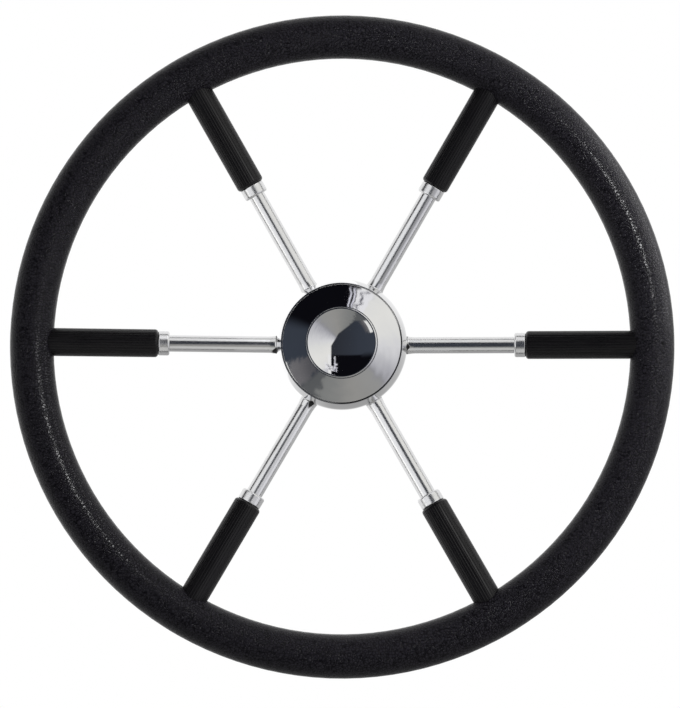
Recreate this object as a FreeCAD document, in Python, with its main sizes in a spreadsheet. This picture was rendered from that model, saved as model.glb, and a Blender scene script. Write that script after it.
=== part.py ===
"""Six-spoke steering wheel for a boat: stainless hub, spokes and hoop, moulded grip, ribbed sleeves.

Units are millimetres. Every piece is drawn in the wheel's own frame, with the shaft's axis along
local Z and the helmsman on the +Z side, and then placed so that the axis lies along -Y and +Z is
up. The origin is the middle of the large end of the shaft's taper, in the hub's back face.
"""
import FreeCAD
import Part
import math
import os
import Sketcher
from FreeCAD import Vector

SIZES = {
    # rim
    "wheel_diameter": 400.0,
    "grip_section": 26.0,
    "hoop_section": 10.0,
    "dish_depth": 18.0,  # plane of the rim ahead of the spokes' roots
    # spokes, sleeves and collars
    "spoke_count": 6,
    "spoke_section": 10.0,
    "socket_depth": 12.0,
    "sleeve_start": 111.8,  # from the wheel's axis
    "sleeve_section": 17.0,
    "sleeve_round": 2.0,
    "flute_count": 30,
    "flute_section": 0.7,
    "flute_depth": 0.25,
    "collar_length": 6.8,
    "collar_section": 14.8,
    "collar_round": 1.2,  # towards the hub
    "collar_back_round": 0.8,  # towards the sleeve
    # hub
    "boss_diameter": 44.0,
    "boss_height": 12.0,
    "boss_chamfer": 1.0,
    "boss_fillet": 3.0,
    "flange_thickness": 24.0,
    "flange_round": 0.3,
    "flange_bulge": 3.08,  # widest circle of the barrel-shaped wall beyond its front edge
    "ledge_width": 0.1,  # flat ring of the hub that shows round the cap
    "spoke_level": 8.0,  # spoke's axis above the back of the flange
    "weld_foot": 12.8,
    "weld_tip": 10.6,
    "weld_reach": 1.2,
    "weld_sweep": 9.0,  # radius of the hollow of the weld
    "weld_root": 4.0,  # start of the weld inside the hub's widest circle
    "nut_recess_diameter": 34.0,
    "nut_recess_depth": 2.5,
    "taper_diameter": 19.05,
    "taper_per_length": 0.08333333,  # one in twelve, on the diameter
    "key_width": 4.76,
    "key_depth": 2.4,
    # cap
    "cap_diameter": 72.8,
    "cap_gap": 0.12,
    "cap_sink": 1.5,
    "cap_edge": 1.9,
    "cap_edge_round": 0.6,
    "cap_cone_height": 8.2,
    "cap_wall": 2.0,
    "lip_diameter": 42.8,  # outer edge of the bead round the hollow mirror
    "lip_bow": 1.6,  # radius of the bead's section
    "lip_drop": 0.55,
    "lip_slope": 1.2,
    "lip_land": 0.1,  # flat top of the bead
    "lip_groove": 0.35,
    "lip_groove_depth": 0.25,
    "mirror_edge_round": 0.15,
    "mirror_radius": 34.0,
    "spigot_inset": 5.45,
    "spigot_length": 6.0,
    "spigot_wall": 4.0,
    "spigot_end_gap": 1.0,
    "ring_section": 2.0,
    "ring_groove_play": 0.4,
    # clearances
    "round_fit": 0.02,  # all round a bar in its hole, and at a coped end
    "spigot_fit": 0.05,
}

doc = FreeCAD.newDocument("steering_wheel")
sheet = doc.addObject("Spreadsheet::Sheet", "Sizes")
for row, (alias, value) in enumerate(SIZES.items(), start=1):
    sheet.set(f"A{row}", alias)
    sheet.set(f"B{row}", str(value))
    sheet.setAlias(f"B{row}", alias)
doc.recompute()


def size(text):
    """Expression text in which every word that is a size is looked up in the sheet."""
    words = []
    word = ""
    for letter in text + " ":
        if letter.isalnum() or letter == "_":
            word += letter
            continue
        words.append(f"Sizes.{word}" if word in SIZES else word)
        words.append(letter)
        word = ""
    return "".join(words).strip()


def value_of(expression):
    """Number that an expression has now."""
    result = sheet.evalExpression(expression)
    return float(getattr(result, "Value", result))


# Derived sizes, as expressions of the driving ones
RIM_RADIUS = size("((wheel_diameter - grip_section) / 2)")
CAP_RADIUS = size("(cap_diameter / 2)")
LIP_RADIUS = size("(lip_diameter / 2)")
MIRROR_EDGE = size("(lip_diameter / 2 - lip_slope - lip_land)")
CONE_EDGE = size("(lip_diameter / 2 + lip_groove)")
COUNTERBORE_RADIUS = size("(cap_diameter / 2 + cap_gap)")
FACE_RADIUS = f"({COUNTERBORE_RADIUS} + {size('ledge_width + flange_round')})"
HUB_RADIUS = f"({FACE_RADIUS} + {size('flange_bulge')})"
SPOKE_HEIGHT = size("(boss_height + spoke_level)")
RIM_HEIGHT = f"({SPOKE_HEIGHT} + {size('dish_depth')})"
RAKE = f"atan({size('dish_depth')} / ({RIM_RADIUS} - {HUB_RADIUS}))"
APEX_HEIGHT = f"({SPOKE_HEIGHT} - {HUB_RADIUS} * tan({RAKE}))"
HOOP_REACH = f"({RIM_RADIUS} / cos({RAKE}))"
SOCKET_REACH = f"(({HUB_RADIUS} - {size('socket_depth')}) / cos({RAKE}))"
SLEEVE_REACH = f"({size('sleeve_start')} / cos({RAKE}))"
BAR_HOLE_RADIUS = size("(spoke_section / 2 + round_fit)")
HUB_HEIGHT = size("(boss_height + flange_thickness)")
SEAT_HEIGHT = f"({HUB_HEIGHT} - {size('cap_sink')})"
SPIGOT_BORE_RADIUS = f"({CAP_RADIUS} - {size('spigot_inset + spigot_fit')})"
SPIGOT_RADIUS = f"({CAP_RADIUS} - {size('spigot_inset')} - 2 * {size('spigot_fit')})"
RECESS_HEIGHT = f"({SEAT_HEIGHT} - {size('(spigot_length + spigot_end_gap)')})"
NUT_SEAT_HEIGHT = f"({RECESS_HEIGHT} - {size('nut_recess_depth')})"

# Places and offsets, as expressions
MOUNTED = "placement(vector(0; 0; 0); rotation(vector(1; 0; 0); 90))"
ON_SPOKE_AXIS = f"placement(vector(0; {APEX_HEIGHT}; 0); rotation(vector(0; 0; 1); {RAKE}))"
ON_WHEEL_AXIS = f"placement(vector(0; 0; 0); rotation(vector(0; 0; 1); -{RAKE}))"
HALF_PITCH = size("180 / spoke_count")
BETWEEN_SPOKES = f"placement(vector(0; 0; 0); rotation(vector(0; 1; 0); {HALF_PITCH}))"


def origin_part(body, role):
    """Origin plane or axis of a body, found by its role."""
    for feature in body.Origin.OriginFeatures:
        if feature.Role == role:
            return feature
    raise ValueError(role)


def new_body(name):
    body = doc.addObject("PartDesign::Body", name)
    body.Label = name
    return body


def new_sketch(body, name, role="XZ_Plane", offset=None):
    """Sketch on an origin plane of its body, moved from it by an offset given as an expression."""
    sketch = body.newObject("Sketcher::SketchObject", name)
    sketch.AttachmentSupport = (origin_part(body, role), [""])
    sketch.MapMode = "FlatFace"
    if offset is not None:
        sketch.setExpression("AttachmentOffset", offset)
    return sketch


def fix_point(sketch, geometry, end, x_text, y_text):
    """Hold one end of a line or arc at a place given by two expressions."""
    for kind, text, axis in (("DistanceX", x_text, -2), ("DistanceY", y_text, -1)):
        if text == "0":
            sketch.addConstraint(Sketcher.Constraint("PointOnObject", geometry, end, axis))
            continue
        number = value_of(text)
        index = sketch.addConstraint(Sketcher.Constraint(kind, -1, 1, geometry, end, number))
        sketch.setExpression(f"Constraints[{index}]", text)


def arc_through(start, end, radius, side):
    """Arc of a radius from start to end that bulges to the left (side 1) or right (side -1)."""
    chord = end - start
    middle = (start + end) * 0.5
    left = Vector(-chord.y, chord.x, 0).normalize()
    drop = radius - math.sqrt(max(radius * radius - (chord.Length / 2) ** 2, 0.0))
    return Part.Arc(start, middle + left * (side * drop), end)


def closed_outline(sketch, corners, arcs=None):
    """Closed outline through corners given as pairs of expressions.

    arcs maps the number of a leg to its radius and the side that it bulges to. All other legs are
    straight.
    """
    arcs = arcs or {}
    points = [Vector(value_of(x_text), value_of(y_text), 0) for x_text, y_text in corners]
    ends = []
    for leg, start in enumerate(points):
        end = points[(leg + 1) % len(points)]
        if leg in arcs:
            radius_text, side = arcs[leg]
            curve = arc_through(start, end, value_of(radius_text), side)
        else:
            curve = Part.LineSegment(start, end)
        geometry = sketch.addGeometry(curve, False)
        to_first = (sketch.getPoint(geometry, 1) - start).Length
        to_second = (sketch.getPoint(geometry, 2) - start).Length
        ends.append((geometry, 1, 2) if to_first < to_second else (geometry, 2, 1))
    for leg, (geometry, _, last) in enumerate(ends):
        after, after_first, _ = ends[(leg + 1) % len(ends)]
        sketch.addConstraint(Sketcher.Constraint("Coincident", geometry, last, after, after_first))
    for (geometry, first, _), (x_text, y_text) in zip(ends, corners):
        fix_point(sketch, geometry, first, x_text, y_text)
    for leg, (radius_text, _) in arcs.items():
        geometry = ends[leg][0]
        number = value_of(radius_text)
        index = sketch.addConstraint(Sketcher.Constraint("Radius", geometry, number))
        sketch.setExpression(f"Constraints[{index}]", radius_text)


def circle(sketch, x_text, y_text, radius_text):
    """Full circle with its centre and radius given by expressions."""
    middle = Vector(value_of(x_text), value_of(y_text), 0)
    geometry = sketch.addGeometry(Part.Circle(middle, Vector(0, 0, 1), value_of(radius_text)), False)
    fix_point(sketch, geometry, 3, x_text, y_text)
    index = sketch.addConstraint(Sketcher.Constraint("Radius", geometry, value_of(radius_text)))
    sketch.setExpression(f"Constraints[{index}]", radius_text)


def turned(body, kind, name, sketch, axis):
    """Revolution or groove of a sketch by a full turn about one of the sketch's own axes."""
    feature = body.newObject(f"PartDesign::{kind}", name)
    feature.Profile = sketch
    feature.ReferenceAxis = (sketch, [axis])
    feature.Angle = 360
    sketch.Visibility = False
    return feature


def around(body, name, features, role, count_text):
    """Pattern of features all the way round one of the body's axes."""
    pattern = body.newObject("PartDesign::PolarPattern", name)
    pattern.Originals = features
    pattern.Axis = (origin_part(body, role), [""])
    pattern.Angle = 360
    pattern.setExpression("Occurrences", count_text)
    body.Tip = pattern
    return pattern


def make_rim_hoop():
    """Round bar bent to a ring, inside the grip."""
    hoop = doc.addObject("Part::Torus", "rim_hoop")
    hoop.Label = "rim_hoop"
    hoop.setExpression("Radius1", RIM_RADIUS)
    hoop.setExpression("Radius2", size("hoop_section / 2"))
    centre = f"placement(vector(0; 0; {RIM_HEIGHT}); rotation(0; 0; 0))"
    hoop.setExpression("Placement", f"{MOUNTED} * {centre}")
    return hoop


def make_rim_grip():
    """Moulded grip: a thick ring, hollow where the hoop runs and bored for the spokes."""
    body = new_body("rim_grip")
    section = new_sketch(body, "grip_section_sketch", offset=BETWEEN_SPOKES)
    circle(section, RIM_RADIUS, RIM_HEIGHT, size("(grip_section / 2)"))
    circle(section, RIM_RADIUS, RIM_HEIGHT, size("(hoop_section / 2 + round_fit)"))
    turned(body, "Revolution", "grip_ring", section, "V_Axis")
    hole = new_sketch(body, "grip_hole_sketch", offset=ON_SPOKE_AXIS)
    start = f"({HOOP_REACH} - {size('grip_section')})"
    closed_outline(hole, [
        (start, "0"),
        (HOOP_REACH, "0"),
        (HOOP_REACH, BAR_HOLE_RADIUS),
        (start, BAR_HOLE_RADIUS),
    ])
    groove = turned(body, "Groove", "grip_hole", hole, "H_Axis")
    around(body, "grip_holes", [groove], "Z_Axis", size("spoke_count"))
    body.setExpression("Placement", MOUNTED)
    return body


def along_spoke(body, number):
    """Place a body whose local X axis is the spoke's axis, with the apex of the spokes at zero."""
    turn = f"rotation(vector(0; 0; 1); {number - 1} * 360 / {size('spoke_count')})"
    lean = f"rotation(vector(0; 1; 0); -{RAKE})"
    apex = f"placement(vector(0; 0; {APEX_HEIGHT}); {turn} * {lean})"
    body.setExpression("Placement", f"{MOUNTED} * {apex}")


def cope(body, name, radius_text):
    """Cut the outer end of a bar or sleeve to sit on a ring of the rim's centre line."""
    section = new_sketch(body, f"{name}_sketch", offset=ON_WHEEL_AXIS)
    circle(section, RIM_RADIUS, f"({RIM_RADIUS} * tan({RAKE}))", radius_text)
    return turned(body, "Groove", name, section, "V_Axis")


def make_spoke(number):
    """Round bar from its socket in the hub to the hoop, coped to the hoop."""
    body = new_body(f"spoke_{number}")
    bar = new_sketch(body, f"spoke_{number}_sketch")
    start = f"({SOCKET_REACH} + {size('round_fit')})"
    radius = size("(spoke_section / 2)")
    closed_outline(bar, [(start, "0"), (HOOP_REACH, "0"), (HOOP_REACH, radius), (start, radius)])
    turned(body, "Revolution", f"spoke_{number}_bar", bar, "H_Axis")
    body.Tip = cope(body, f"spoke_{number}_cope", size("(hoop_section / 2 + round_fit)"))
    along_spoke(body, number)
    return body


def make_spoke_sleeve(number):
    """Moulded sleeve over the outer part of a spoke: fine flutes all round, coped to the grip."""
    body = new_body(f"spoke_sleeve_{number}")
    wall = new_sketch(body, f"sleeve_{number}_sketch")
    radius = size("(sleeve_section / 2)")
    rounding = size("sleeve_round")
    closed_outline(wall, [
        (SLEEVE_REACH, BAR_HOLE_RADIUS),
        (HOOP_REACH, BAR_HOLE_RADIUS),
        (HOOP_REACH, radius),
        (f"({SLEEVE_REACH} + {rounding})", radius),
        (SLEEVE_REACH, f"({radius} - {rounding})"),
    ], arcs={3: (rounding, -1)})
    turned(body, "Revolution", f"sleeve_{number}_wall", wall, "H_Axis")
    cope(body, f"sleeve_{number}_cope", size("(grip_section / 2 + round_fit)"))
    cutter = new_sketch(body, f"flute_{number}_sketch", role="YZ_Plane")
    cutter_height = size("(sleeve_section / 2 - flute_depth + flute_section / 2)")
    circle(cutter, "0", cutter_height, size("(flute_section / 2)"))
    flute = body.newObject("PartDesign::Pocket", f"flute_{number}")
    flute.Profile = cutter
    flute.Reversed = True
    flute.setExpression("Length", HOOP_REACH)
    cutter.Visibility = False
    around(body, f"flutes_{number}", [flute], "X_Axis", size("flute_count"))
    along_spoke(body, number)
    return body


def make_collar(number):
    """Turned collar that closes the sleeve on the hub side, rounded at both ends."""
    body = new_body(f"collar_{number}")
    wall = new_sketch(body, f"collar_{number}_sketch")
    start = f"({SLEEVE_REACH} - {size('collar_length')})"
    radius = size("(collar_section / 2)")
    nose = size("collar_round")
    heel = size("collar_back_round")
    closed_outline(wall, [
        (start, BAR_HOLE_RADIUS),
        (SLEEVE_REACH, BAR_HOLE_RADIUS),
        (SLEEVE_REACH, f"({radius} - {heel})"),
        (f"({SLEEVE_REACH} - {heel})", radius),
        (f"({start} + {nose})", radius),
        (start, f"({radius} - {nose})"),
    ], arcs={2: (heel, -1), 4: (nose, -1)})
    turned(body, "Revolution", f"collar_{number}_wall", wall, "H_Axis")
    along_spoke(body, number)
    return body


def make_hub_body():
    """Turned hub: back boss, barrel-shaped flange with spoke sockets, tapered and keyed bore."""
    body = new_body("hub_body")
    wall = new_sketch(body, "hub_sketch", offset=BETWEEN_SPOKES)
    boss = size("(boss_diameter / 2)")
    boss_top = size("boss_height")
    chamfer = size("boss_chamfer")
    fillet = size("boss_fillet")
    rounding = size("flange_round")
    large = size("(taper_diameter / 2)")
    small = f"({large} - {NUT_SEAT_HEIGHT} * {size('taper_per_length')} / 2)"
    half_chord = f"(({HUB_HEIGHT} - {boss_top} - 2 * {rounding}) / 2)"
    bulge = size("flange_bulge")
    barrel = f"(({half_chord} * {half_chord} + {bulge} * {bulge}) / (2 * {bulge}))"
    closed_outline(wall, [
        (large, "0"),
        (f"({boss} - {chamfer})", "0"),
        (boss, chamfer),
        (boss, f"({boss_top} - {fillet})"),
        (f"({boss} + {fillet})", boss_top),
        (f"({FACE_RADIUS} - {rounding})", boss_top),
        (FACE_RADIUS, f"({boss_top} + {rounding})"),
        (FACE_RADIUS, f"({HUB_HEIGHT} - {rounding})"),
        (f"({FACE_RADIUS} - {rounding})", HUB_HEIGHT),
        (COUNTERBORE_RADIUS, HUB_HEIGHT),
        (COUNTERBORE_RADIUS, SEAT_HEIGHT),
        (SPIGOT_BORE_RADIUS, SEAT_HEIGHT),
        (SPIGOT_BORE_RADIUS, RECESS_HEIGHT),
        (size("(nut_recess_diameter / 2)"), RECESS_HEIGHT),
        (size("(nut_recess_diameter / 2)"), NUT_SEAT_HEIGHT),
        (small, NUT_SEAT_HEIGHT),
    ], arcs={3: (fillet, 1), 5: (rounding, -1), 6: (barrel, -1), 7: (rounding, -1)})
    turned(body, "Revolution", "hub_wall", wall, "V_Axis")

    foot = new_sketch(body, "weld_sketch", offset=ON_SPOKE_AXIS)
    wall_reach = f"({HUB_RADIUS} / cos({RAKE}))"
    root = f"({wall_reach} - {size('weld_root')})"
    tip = f"({wall_reach} + {size('weld_reach')})"
    closed_outline(foot, [
        (root, "0"),
        (tip, "0"),
        (tip, size("(weld_tip / 2)")),
        (f"({wall_reach} - {size('flange_bulge')})", size("(weld_foot / 2)")),
        (root, size("(weld_foot / 2)")),
    ], arcs={2: (size("weld_sweep"), 1)})
    weld = turned(body, "Revolution", "weld_foot", foot, "H_Axis")
    hole = new_sketch(body, "socket_sketch", offset=ON_SPOKE_AXIS)
    outside = f"({tip} + {size('weld_reach')})"
    closed_outline(hole, [
        (SOCKET_REACH, "0"),
        (outside, "0"),
        (outside, BAR_HOLE_RADIUS),
        (SOCKET_REACH, BAR_HOLE_RADIUS),
    ])
    socket = turned(body, "Groove", "spoke_socket", hole, "H_Axis")
    around(body, "spoke_sockets", [weld, socket], "Z_Axis", size("spoke_count"))

    slot = new_sketch(body, "keyway_sketch", role="XY_Plane")
    half = size("(key_width / 2)")
    top = size("(taper_diameter / 2 + key_depth)")
    keyway_outline(slot, half, top)
    keyway = body.newObject("PartDesign::Pocket", "keyway")
    keyway.Profile = slot
    keyway.Reversed = True
    keyway.setExpression("Length", NUT_SEAT_HEIGHT)
    slot.Visibility = False
    body.Tip = keyway
    body.setExpression("Placement", MOUNTED)
    return body


def keyway_outline(sketch, half, top):
    """Rectangle from the shaft's axis up to the top of the keyway, even about the axis."""
    width = value_of(half)
    height = value_of(top)
    corners = ((-width, 0), (width, 0), (width, height), (-width, height))
    points = [Vector(across, up, 0) for across, up in corners]
    for leg in range(4):
        sketch.addGeometry(Part.LineSegment(points[leg], points[(leg + 1) % 4]), False)
    for leg in range(4):
        sketch.addConstraint(Sketcher.Constraint("Coincident", leg, 2, (leg + 1) % 4, 1))
    sketch.addConstraint(Sketcher.Constraint("PointOnObject", 0, 1, -1))
    sketch.addConstraint(Sketcher.Constraint("Vertical", 1))
    sketch.addConstraint(Sketcher.Constraint("Vertical", 3))
    sketch.addConstraint(Sketcher.Constraint("Horizontal", 2))
    sketch.addConstraint(Sketcher.Constraint("Symmetric", 0, 1, 0, 2, -1, 1))
    index = sketch.addConstraint(Sketcher.Constraint("DistanceX", 0, 1, 0, 2, 2 * width))
    sketch.setExpression(f"Constraints[{index}]", f"2 * {half}")
    index = sketch.addConstraint(Sketcher.Constraint("DistanceY", 1, 1, 1, 2, height))
    sketch.setExpression(f"Constraints[{index}]", top)


def make_hub_cap():
    """Cover of the hub: cone ring, rounded bead, hollow mirror and a grooved spigot."""
    body = new_body("hub_cap")
    wall = new_sketch(body, "cap_sketch")
    inner = f"({SPIGOT_RADIUS} - {size('spigot_wall')})"
    spigot_end = f"({SEAT_HEIGHT} - {size('spigot_length')})"
    cone_foot = f"({SEAT_HEIGHT} + {size('cap_edge')})"
    cone_top = f"({cone_foot} + {size('cap_cone_height')})"
    lip_foot = f"({cone_top} - {size('lip_groove_depth')})"
    crown = f"({cone_top} + {size('lip_drop')})"
    slope = f"({size('cap_cone_height')} / ({CAP_RADIUS} - {CONE_EDGE}))"
    steepness = f"sqrt(1 + {slope} * {slope})"
    mirror = size("mirror_radius")
    back = size("(mirror_radius + cap_wall)")
    centre = f"({crown} + sqrt({mirror} * {mirror} - {MIRROR_EDGE} * {MIRROR_EDGE}))"
    cone_at_inner = f"({cone_top} - ({inner} - {CONE_EDGE}) * {slope})"
    under_cone = f"({cone_at_inner} - {size('cap_wall')} * {steepness})"
    under_bead = f"({centre} - sqrt({back} * {back} - {MIRROR_EDGE} * {MIRROR_EDGE}))"
    rounding = size("cap_edge_round")
    wall_top = f"({cone_foot} + {rounding} * ({slope} - {steepness}))"
    groove_middle = f"({LIP_RADIUS} + {size('lip_groove')} / 2)"
    closed_outline(wall, [
        (inner, spigot_end),
        (SPIGOT_RADIUS, spigot_end),
        (SPIGOT_RADIUS, SEAT_HEIGHT),
        (CAP_RADIUS, SEAT_HEIGHT),
        (CAP_RADIUS, wall_top),
        (
            f"({CAP_RADIUS} - {rounding} * (1 - {slope} / {steepness}))",
            f"({wall_top} + {rounding} / {steepness})",
        ),
        (CONE_EDGE, cone_top),
        (groove_middle, lip_foot),
        (LIP_RADIUS, lip_foot),
        (LIP_RADIUS, cone_top),
        (f"({LIP_RADIUS} - {size('lip_slope')})", crown),
        (MIRROR_EDGE, crown),
        ("0", f"({centre} - {mirror})"),
        ("0", f"({centre} - {back})"),
        (MIRROR_EDGE, under_bead),
        (inner, under_cone),
    ], arcs={
        4: (rounding, -1),
        9: (size("lip_bow"), -1),
        11: (mirror, 1),
        13: (back, -1),
    })
    turned(body, "Revolution", "cap_wall", wall, "V_Axis")
    doc.recompute()
    seat = new_sketch(body, "ring_groove_sketch")
    floor = f"({SPIGOT_BORE_RADIUS} - {size('ring_section')} - 2 * {size('round_fit')})"
    half = size("((ring_section + ring_groove_play) / 2)")
    middle = f"({SEAT_HEIGHT} - {size('spigot_length')} / 2)"
    closed_outline(seat, [
        (floor, f"({middle} - {half})"),
        (SPIGOT_BORE_RADIUS, f"({middle} - {half})"),
        (SPIGOT_BORE_RADIUS, f"({middle} + {half})"),
        (floor, f"({middle} + {half})"),
    ])
    groove = turned(body, "Groove", "ring_groove", seat, "V_Axis")
    doc.recompute()
    edge = body.newObject("PartDesign::Fillet", "mirror_edge")
    edge.Base = (groove, [edge_at(groove.Shape, value_of(MIRROR_EDGE), value_of(crown))])
    edge.setExpression("Radius", size("mirror_edge_round"))
    body.Tip = edge
    body.setExpression("Placement", MOUNTED)
    return body


def edge_at(shape, radius, height):
    """Name of the circular edge about the Z axis with this radius at this height."""
    for number, edge in enumerate(shape.Edges, start=1):
        if edge.Degenerated or not isinstance(edge.Curve, Part.Circle):
            continue
        curve = edge.Curve
        if abs(curve.Radius - radius) < 0.001 and abs(curve.Center.z - height) < 0.001:
            return f"Edge{number}"
    raise ValueError("no such edge")


def make_cap_o_ring():
    """Rubber ring in the groove of the cap's spigot."""
    ring = doc.addObject("Part::Torus", "cap_o_ring")
    ring.Label = "cap_o_ring"
    ring.setExpression("Radius1", f"{SPIGOT_BORE_RADIUS} - {size('(round_fit + ring_section / 2)')}")
    ring.setExpression("Radius2", size("ring_section / 2"))
    middle = f"({SEAT_HEIGHT} - {size('spigot_length')} / 2)"
    centre = f"placement(vector(0; 0; {middle}); rotation(0; 0; 0))"
    ring.setExpression("Placement", f"{MOUNTED} * {centre}")
    return ring


nodes = [make_rim_hoop(), make_rim_grip(), make_hub_body(), make_hub_cap(), make_cap_o_ring()]
for spoke_number in range(1, SIZES["spoke_count"] + 1):
    nodes.append(make_spoke(spoke_number))
    nodes.append(make_spoke_sleeve(spoke_number))
    nodes.append(make_collar(spoke_number))
doc.recompute()

for item in doc.Objects:
    if "Invalid" in item.State or "Error" in item.State:
        raise RuntimeError(f"{item.Name} failed: {item.State}")
for node in nodes:
    if node.Shape.isNull() or not node.Shape.isValid() or len(node.Shape.Solids) != 1:
        raise RuntimeError(f"{node.Label} has no single valid solid")

os.makedirs("parts", exist_ok=True)
for node in nodes:
    node.Shape.exportStep(f"parts/{node.Label}.step")
    box = node.Shape.BoundBox
    low = f"{box.XMin:.1f} {box.YMin:.1f} {box.ZMin:.1f}"
    high = f"{box.XMax:.1f} {box.YMax:.1f} {box.ZMax:.1f}"
    print(f"{node.Label}: {node.Shape.Volume / 1000:.2f} cm3, from {low} to {high}")
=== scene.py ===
# %% [markdown]
# # A boat's steering wheel in polished stainless steel
#
# This lesson dresses a finished CAD wheel for a product photograph. The real wheel is a turned hub
# under a mirror cap, six round spokes that are welded to the hub, a small turned collar and a black
# sleeve with fine flutes on each spoke, and a thick moulded grip with a leather grain on the rim.
#
# The CAD model comes in as a fixed frame in metres. The wheel's axis lies along Y, its face looks
# towards -Y and +Z is up. Anything that is made here at the drawing's numbers sits in its place at
# once, so no piece has to be fitted by eye.

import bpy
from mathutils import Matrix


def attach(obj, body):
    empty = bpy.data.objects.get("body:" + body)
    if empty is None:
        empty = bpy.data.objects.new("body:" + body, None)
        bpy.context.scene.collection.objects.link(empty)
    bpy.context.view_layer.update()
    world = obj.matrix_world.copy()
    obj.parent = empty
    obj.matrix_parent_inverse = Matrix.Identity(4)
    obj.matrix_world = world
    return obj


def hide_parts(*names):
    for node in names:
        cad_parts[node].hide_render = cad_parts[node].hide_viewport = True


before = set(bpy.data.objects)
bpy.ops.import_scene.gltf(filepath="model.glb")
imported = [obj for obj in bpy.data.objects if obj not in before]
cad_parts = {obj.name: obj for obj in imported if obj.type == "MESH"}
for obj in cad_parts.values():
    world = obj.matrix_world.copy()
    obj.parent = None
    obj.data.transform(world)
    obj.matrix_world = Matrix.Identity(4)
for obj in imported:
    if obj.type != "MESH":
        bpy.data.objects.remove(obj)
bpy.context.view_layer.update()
print("CAD nodes:", len(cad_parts))

# %% [markdown]
# Blender's own modules come next. bmesh cleans up meshes that are built point by point, and
# mathutils has the vectors and matrices. Drawings of turned metal parts are in millimetres, so the
# lesson keeps that unit and turns it into metres in one place.

# %% Import what the lesson needs
import math
import bmesh
import bpy
from mathutils import Matrix, Vector

MM = 0.001
scene = bpy.context.scene

# %% [markdown]
# ## The camera
#
# The picture was taken from almost straight ahead, with a longish lens. A camera can be aimed at a
# target, or it can be given its place and three small angles. The angles are used here, because
# they were found by laying the wheel's own circles over the ones in the picture: both edges of the
# rim, the cap, the hub, and the ends of the sleeves.

# %% Place the camera
camera_data = bpy.data.cameras.new("picture_camera")
camera = bpy.data.objects.new("picture_camera", camera_data)
scene.collection.objects.link(camera)
camera_data.sensor_fit = "VERTICAL"
camera_data.sensor_height = 36.0
camera_data.lens = 77.9
camera_data.clip_end = 20.0

YAW, PITCH, ROLL = (math.radians(angle) for angle in (0.47, 3.32, 0.30))
CAMERA_PLACE = (6.6, -959.5, -60.0)
look = Matrix.Rotation(YAW, 3, "Z") @ Matrix.Rotation(PITCH, 3, "X")
forward = look @ Vector((0, 1, 0))
level = look @ Vector((1, 0, 0))
upright = look @ Vector((0, 0, 1))
right = level * math.cos(ROLL) + upright * math.sin(ROLL)
above = upright * math.cos(ROLL) - level * math.sin(ROLL)
camera.matrix_world = Matrix((
    (right.x, above.x, -forward.x, CAMERA_PLACE[0] * MM),
    (right.y, above.y, -forward.y, CAMERA_PLACE[1] * MM),
    (right.z, above.z, -forward.z, CAMERA_PLACE[2] * MM),
    (0, 0, 0, 1),
))
scene.camera = camera
print("camera at", [round(value, 4) for value in camera.matrix_world.translation])

# %% [markdown]
# ## Helpers for node materials
#
# Every finish on the wheel is a small node tree that works out its pattern from the place on the
# piece. The same few steps come back each time: start a material, add a node with its values, read
# a ramp, and turn a height into relief. As functions they keep the finishes below short enough to
# read as recipes.

# %% Start a finish and add nodes to it
def new_finish(name):
    """Material with an empty node tree but for its surface shader."""
    material = bpy.data.materials.new(name)
    material.use_nodes = True
    nodes = material.node_tree.nodes
    nodes.clear()
    out = nodes.new("ShaderNodeOutputMaterial")
    shader = nodes.new("ShaderNodeBsdfPrincipled")
    material.node_tree.links.new(shader.outputs["BSDF"], out.inputs["Surface"])
    return material, shader


def add_node(tree, kind, **values):
    """Node with its properties or its input values set by name."""
    node = tree.nodes.new(kind)
    for key, value in values.items():
        if key in node.inputs:
            node.inputs[key].default_value = value
        else:
            setattr(node, key, value)
    return node


def ramp(tree, factor, stops):
    """Colour ramp read by a factor. Each stop is a place and a grey level or a colour."""
    node = tree.nodes.new("ShaderNodeValToRGB")
    elements = node.color_ramp.elements
    while len(elements) < len(stops):
        elements.new(0.5)
    for element, (place, colour) in zip(elements, stops):
        element.position = place
        grey = isinstance(colour, (int, float))
        element.color = (colour, colour, colour, 1) if grey else (*colour, 1)
    tree.links.new(factor, node.inputs["Fac"])
    return node.outputs["Color"]


# %% [markdown]
# The place comes from the Object output of Texture Coordinate, which sticks to the piece when it
# moves. Stretching it along one axis turns round specks into the long marks of a drawn bar. A bump
# node turns a height into relief. Where a finish has two reliefs, the second bump takes the first
# one's normal.

# %% Read the place and make relief
def object_place(tree, stretch=(1, 1, 1)):
    """Place on the object in metres, stretched along its axes."""
    place = add_node(tree, "ShaderNodeTexCoord").outputs["Object"]
    mapping = add_node(tree, "ShaderNodeMapping", Scale=stretch)
    tree.links.new(place, mapping.inputs["Vector"])
    return mapping.outputs["Vector"]


def noise(tree, place, scale, detail=3.0):
    """Soft specks, so many a metre."""
    node = add_node(tree, "ShaderNodeTexNoise", Scale=scale, Detail=detail)
    tree.links.new(place, node.inputs["Vector"])
    return node.outputs["Fac"]


def relief(tree, shader, height, distance, strength=1.0):
    """Bump of a height, added to what the shader already has."""
    node = add_node(tree, "ShaderNodeBump", Strength=strength, Distance=distance)
    tree.links.new(height, node.inputs["Height"])
    if shader.inputs["Normal"].links:
        tree.links.new(shader.inputs["Normal"].links[0].from_socket, node.inputs["Normal"])
    tree.links.new(node.outputs["Normal"], shader.inputs["Normal"])


# %% [markdown]
# Some patterns need sums, such as how far a place lies from the foot of a weld, or a direction from
# the wheel's axis. Each sum is a Math node. A Map Range node makes a soft step, which goes from one
# level to another without a hard edge.

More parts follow.
